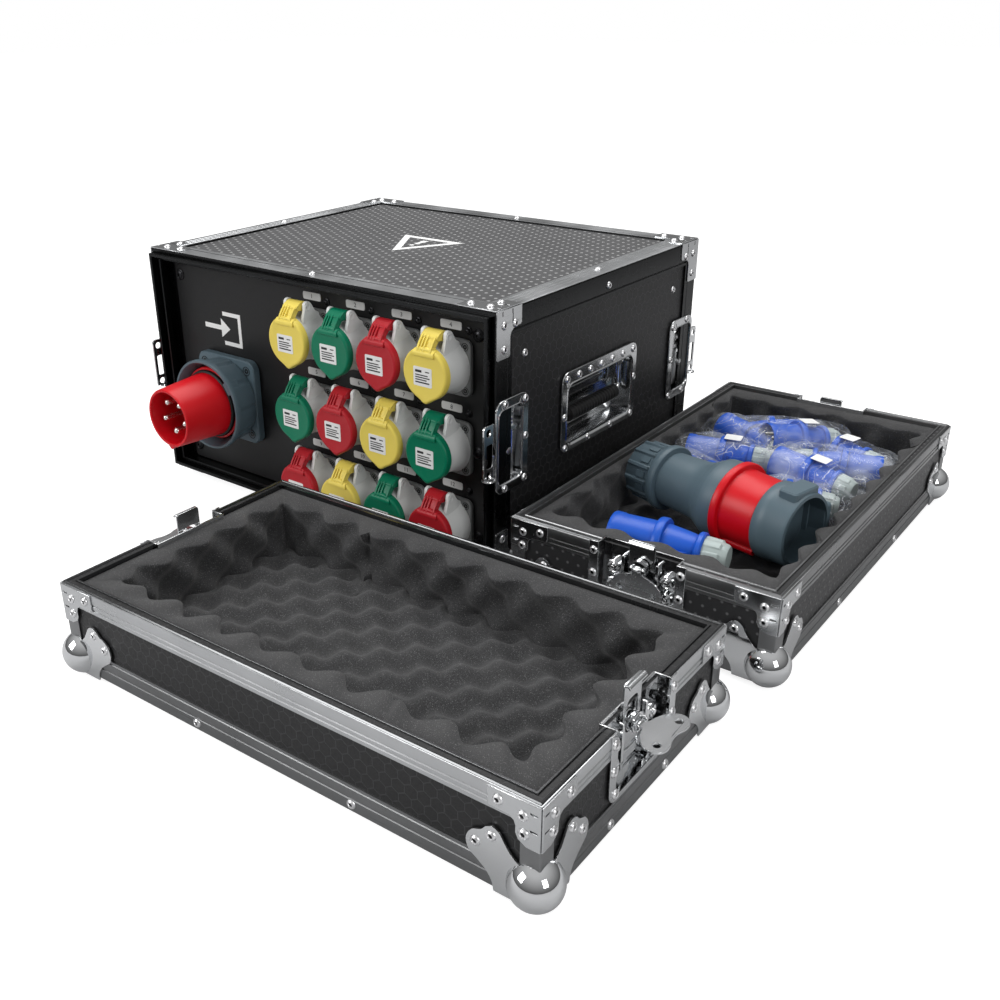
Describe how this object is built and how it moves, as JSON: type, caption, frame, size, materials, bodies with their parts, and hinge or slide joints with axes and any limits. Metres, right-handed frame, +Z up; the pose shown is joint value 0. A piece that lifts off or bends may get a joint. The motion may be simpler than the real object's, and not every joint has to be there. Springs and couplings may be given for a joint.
{
  "type": "portable power distribution box",
  "caption": "Rack flight case with a front panel of flap-covered outlet sockets and a pin-and-sleeve inlet, both foam-lined lids off and lying beside it with spare connectors.",
  "frame": {"origin": "middle of the whole layout's footprint (case and both lids), on the ground it stands on", "axes": "+Z up, +X right along the case's front, +Y from the front panel to the back"},
  "size_m": [0.858, 0.9144, 0.306],
  "materials": {
    "socket_grey": "moulded light grey plastic",
    "cover_yellow": "moulded yellow plastic",
    "cover_green": "moulded green plastic",
    "cover_red": "moulded red plastic",
    "inlet_grey": "moulded blue-grey plastic",
    "inlet_red": "moulded red plastic",
    "contact_nickel": "nickel-plated brass",
    "foam": "open-cell acoustic foam",
    "aluminium_profile": "anodised aluminium profile",
    "panel_paint": "satin black powder coat",
    "laminate_board": "plywood with a patterned black laminate face",
    "breaker_plastic": "moulded light grey plastic",
    "copper_bar": "copper bars on a moulded base",
    "plug_blue": "moulded blue plastic",
    "bright_steel": "bright chromium plate"
  },
  "bodies": {
    "case": {"case_frame": "aluminium_profile", "top_panel": "laminate_board", "bottom_panel": "laminate_board", "left_panel": "laminate_board", "right_panel": "laminate_board", "front_rack_panel": "panel_paint", "rear_rack_panel": "panel_paint", "breaker_bank": "breaker_plastic", "terminal_block": "copper_bar", "socket_housing_1": "socket_grey", "socket_housing_2": "socket_grey", "socket_housing_3": "socket_grey", "socket_housing_4": "socket_grey", "socket_housing_5": "socket_grey", "socket_housing_6": "socket_grey", "socket_housing_7": "socket_grey", "socket_housing_8": "socket_grey", "socket_housing_9": "socket_grey", "socket_housing_10": "socket_grey", "socket_housing_11": "socket_grey", "socket_housing_12": "socket_grey", "inlet_housing": "inlet_grey", "inlet_sleeve": "inlet_red", "inlet_contacts": "contact_nickel", "left_handle_dish": "bright_steel", "right_handle_dish": "bright_steel"},
    "cover_1": {"socket_cover_1": "cover_yellow"},
    "cover_2": {"socket_cover_2": "cover_green"},
    "cover_3": {"socket_cover_3": "cover_red"},
    "cover_4": {"socket_cover_4": "cover_yellow"},
    "cover_5": {"socket_cover_5": "cover_green"},
    "cover_6": {"socket_cover_6": "cover_red"},
    "cover_7": {"socket_cover_7": "cover_yellow"},
    "cover_8": {"socket_cover_8": "cover_green"},
    "cover_9": {"socket_cover_9": "cover_red"},
    "cover_10": {"socket_cover_10": "cover_yellow"},
    "cover_11": {"socket_cover_11": "cover_green"},
    "cover_12": {"socket_cover_12": "cover_red"},
    "locking_ring": {"inlet_locking_ring": "inlet_grey"},
    "left_bail": {"left_handle_bail": "bright_steel"},
    "right_bail": {"right_handle_bail": "bright_steel"},
    "front_lid": {"front_lid_shell": "aluminium_profile", "front_lid_foam": "foam"},
    "rear_lid": {"rear_lid_shell": "aluminium_profile", "rear_lid_foam": "foam"},
    "front_lid_left_turret": {"front_lid_left_turret": "bright_steel"},
    "front_lid_left_butterfly": {"front_lid_left_butterfly": "bright_steel"},
    "front_lid_left_hook": {"front_lid_left_hook": "bright_steel"},
    "front_lid_right_turret": {"front_lid_right_turret": "bright_steel"},
    "front_lid_right_butterfly": {"front_lid_right_butterfly": "bright_steel"},
    "front_lid_right_hook": {"front_lid_right_hook": "bright_steel"},
    "rear_lid_front_turret": {"rear_lid_front_turret": "bright_steel"},
    "rear_lid_front_butterfly": {"rear_lid_front_butterfly": "bright_steel"},
    "rear_lid_front_hook": {"rear_lid_front_hook": "bright_steel"},
    "rear_lid_back_turret": {"rear_lid_back_turret": "bright_steel"},
    "rear_lid_back_butterfly": {"rear_lid_back_butterfly": "bright_steel"},
    "rear_lid_back_hook": {"rear_lid_back_hook": "bright_steel"},
    "spare_connector": {"spare_connector": "inlet_grey"},
    "spare_plug": {"spare_plug": "plug_blue"},
    "bagged_plugs": {"bagged_plugs": "plug_blue"}
  },
  "joints": [
    {"name": "cover_1_hinge", "type": "hinge", "parent": "case", "child": "cover_1", "pos_m": [-0.16631, -0.08467, 0.2745], "axis": [-1, 0, 0], "range_deg": [0, 85], "stiffness_Nm_per_rad": 0.04, "springref_deg": -34.38},
    {"name": "cover_2_hinge", "type": "hinge", "parent": "case", "child": "cover_2", "pos_m": [-0.09981, -0.08467, 0.2745], "axis": [-1, 0, 0], "range_deg": [0, 85], "stiffness_Nm_per_rad": 0.04, "springref_deg": -34.38},
    {"name": "cover_3_hinge", "type": "hinge", "parent": "case", "child": "cover_3", "pos_m": [-0.03331, -0.08467, 0.2745], "axis": [-1, 0, 0], "range_deg": [0, 85], "stiffness_Nm_per_rad": 0.04, "springref_deg": -34.38},
    {"name": "cover_4_hinge", "type": "hinge", "parent": "case", "child": "cover_4", "pos_m": [0.03319, -0.08467, 0.2745], "axis": [-1, 0, 0], "range_deg": [0, 85], "stiffness_Nm_per_rad": 0.04, "springref_deg": -34.38},
    {"name": "cover_5_hinge", "type": "hinge", "parent": "case", "child": "cover_5", "pos_m": [-0.16631, -0.08467, 0.185], "axis": [-1, 0, 0], "range_deg": [0, 85], "stiffness_Nm_per_rad": 0.04, "springref_deg": -34.38},
    {"name": "cover_6_hinge", "type": "hinge", "parent": "case", "child": "cover_6", "pos_m": [-0.09981, -0.08467, 0.185], "axis": [-1, 0, 0], "range_deg": [0, 85], "stiffness_Nm_per_rad": 0.04, "springref_deg": -34.38},
    {"name": "cover_7_hinge", "type": "hinge", "parent": "case", "child": "cover_7", "pos_m": [-0.03331, -0.08467, 0.185], "axis": [-1, 0, 0], "range_deg": [0, 85], "stiffness_Nm_per_rad": 0.04, "springref_deg": -34.38},
    {"name": "cover_8_hinge", "type": "hinge", "parent": "case", "child": "cover_8", "pos_m": [0.03319, -0.08467, 0.185], "axis": [-1, 0, 0], "range_deg": [0, 85], "stiffness_Nm_per_rad": 0.04, "springref_deg": -34.38},
    {"name": "cover_9_hinge", "type": "hinge", "parent": "case", "child": "cover_9", "pos_m": [-0.16631, -0.08467, 0.0955], "axis": [-1, 0, 0], "range_deg": [0, 85], "stiffness_Nm_per_rad": 0.04, "springref_deg": -34.38},
    {"name": "cover_10_hinge", "type": "hinge", "parent": "case", "child": "cover_10", "pos_m": [-0.09981, -0.08467, 0.0955], "axis": [-1, 0, 0], "range_deg": [0, 85], "stiffness_Nm_per_rad": 0.04, "springref_deg": -34.38},
    {"name": "cover_11_hinge", "type": "hinge", "parent": "case", "child": "cover_11", "pos_m": [-0.03331, -0.08467, 0.0955], "axis": [-1, 0, 0], "range_deg": [0, 85], "stiffness_Nm_per_rad": 0.04, "springref_deg": -34.38},
    {"name": "cover_12_hinge", "type": "hinge", "parent": "case", "child": "cover_12", "pos_m": [0.03319, -0.08467, 0.0955], "axis": [-1, 0, 0], "range_deg": [0, 85], "stiffness_Nm_per_rad": 0.04, "springref_deg": -34.38},
    {"name": "locking_ring_turn", "type": "hinge", "parent": "case", "child": "locking_ring", "pos_m": [-0.31381, -0.09167, 0.132], "axis": [0, -1, 0], "range_deg": [0, 35]},
    {"name": "left_handle_swing", "type": "hinge", "parent": "case", "child": "left_bail", "pos_m": [-0.41681, 0.12883, 0.1885], "axis": [0, 1, 0], "range_deg": [0, 90], "stiffness_Nm_per_rad": 0.15, "springref_deg": -28.65},
    {"name": "right_handle_swing", "type": "hinge", "parent": "case", "child": "right_bail", "pos_m": [0.09119, 0.12883, 0.1885], "axis": [0, -1, 0], "range_deg": [0, 90], "stiffness_Nm_per_rad": 0.15, "springref_deg": -28.65},
    {"name": "front_lid_slide", "type": "slide", "parent": "case", "child": "front_lid", "axis": [0, -1, 0], "range_m": [0, 0.2]},
    {"name": "rear_lid_slide", "type": "slide", "parent": "case", "child": "rear_lid", "axis": [1, 0, 0], "range_m": [0, 0.2]},
    {"name": "front_lid_left_turn", "type": "hinge", "parent": "front_lid", "child": "front_lid_left_turret", "pos_m": [-0.11801, -0.3057, 0.079], "axis": [-0.9998, -0.02, 0], "range_deg": [0, 180]},
    {"name": "front_lid_left_flip", "type": "hinge", "parent": "front_lid_left_turret", "child": "front_lid_left_butterfly", "pos_m": [-0.12501, -0.30584, 0.079], "axis": [0.02, -0.9998, 0], "range_deg": [0, 90]},
    {"name": "front_lid_left_hook_slide", "type": "slide", "parent": "front_lid", "child": "front_lid_left_hook", "axis": [0, 0, 1], "range_m": [-0.012, 0]},
    {"name": "front_lid_right_turn", "type": "hinge", "parent": "front_lid", "child": "front_lid_right_turret", "pos_m": [0.39188, -0.2955, 0.079], "axis": [0.9998, 0.02, 0], "range_deg": [0, 180]},
    {"name": "front_lid_right_flip", "type": "hinge", "parent": "front_lid_right_turret", "child": "front_lid_right_butterfly", "pos_m": [0.39888, -0.29536, 0.079], "axis": [-0.02, 0.9998, 0], "range_deg": [0, 90]},
    {"name": "front_lid_right_hook_slide", "type": "slide", "parent": "front_lid", "child": "front_lid_right_hook", "axis": [0, 0, 1], "range_m": [-0.012, 0]},
    {"name": "rear_lid_front_turn", "type": "hinge", "parent": "rear_lid", "child": "rear_lid_front_turret", "pos_m": [0.27504, -0.07241, 0.079], "axis": [0.0135, -0.9999, 0], "range_deg": [0, 180]},
    {"name": "rear_lid_front_flip", "type": "hinge", "parent": "rear_lid_front_turret", "child": "rear_lid_front_butterfly", "pos_m": [0.27514, -0.07941, 0.079], "axis": [-0.9999, -0.0135, 0], "range_deg": [0, 90]},
    {"name": "rear_lid_front_hook_slide", "type": "slide", "parent": "rear_lid", "child": "rear_lid_front_hook", "axis": [0, 0, 1], "range_m": [0, 0.012]},
    {"name": "rear_lid_back_turn", "type": "hinge", "parent": "rear_lid", "child": "rear_lid_back_turret", "pos_m": [0.26816, 0.43754, 0.079], "axis": [-0.0135, 0.9999, 0], "range_deg": [0, 180]},
    {"name": "rear_lid_back_flip", "type": "hinge", "parent": "rear_lid_back_turret", "child": "rear_lid_back_butterfly", "pos_m": [0.26806, 0.44454, 0.079], "axis": [0.9999, 0.0135, 0], "range_deg": [0, 90]},
    {"name": "rear_lid_back_hook_slide", "type": "slide", "parent": "rear_lid", "child": "rear_lid_back_hook", "axis": [0, 0, 1], "range_m": [0, 0.012]},
    {"name": "spare_connector_lift", "type": "slide", "parent": "rear_lid", "child": "spare_connector", "axis": [0, 0, 1], "range_m": [0, 0.15]},
    {"name": "spare_plug_lift", "type": "slide", "parent": "rear_lid", "child": "spare_plug", "axis": [0, 0, 1], "range_m": [0, 0.15]},
    {"name": "bagged_plugs_lift", "type": "slide", "parent": "rear_lid", "child": "bagged_plugs", "axis": [0, 0, 1], "range_m": [0, 0.15]}
  ],
  "couplings": [
    {"joint": "front_lid_left_hook_slide", "follows": "front_lid_left_turn", "m_per_rad": -0.0038},
    {"joint": "front_lid_right_hook_slide", "follows": "front_lid_right_turn", "m_per_rad": -0.0038},
    {"joint": "rear_lid_front_hook_slide", "follows": "rear_lid_front_turn", "m_per_rad": 0.0038},
    {"joint": "rear_lid_back_hook_slide", "follows": "rear_lid_back_turn", "m_per_rad": 0.0038}
  ]
}
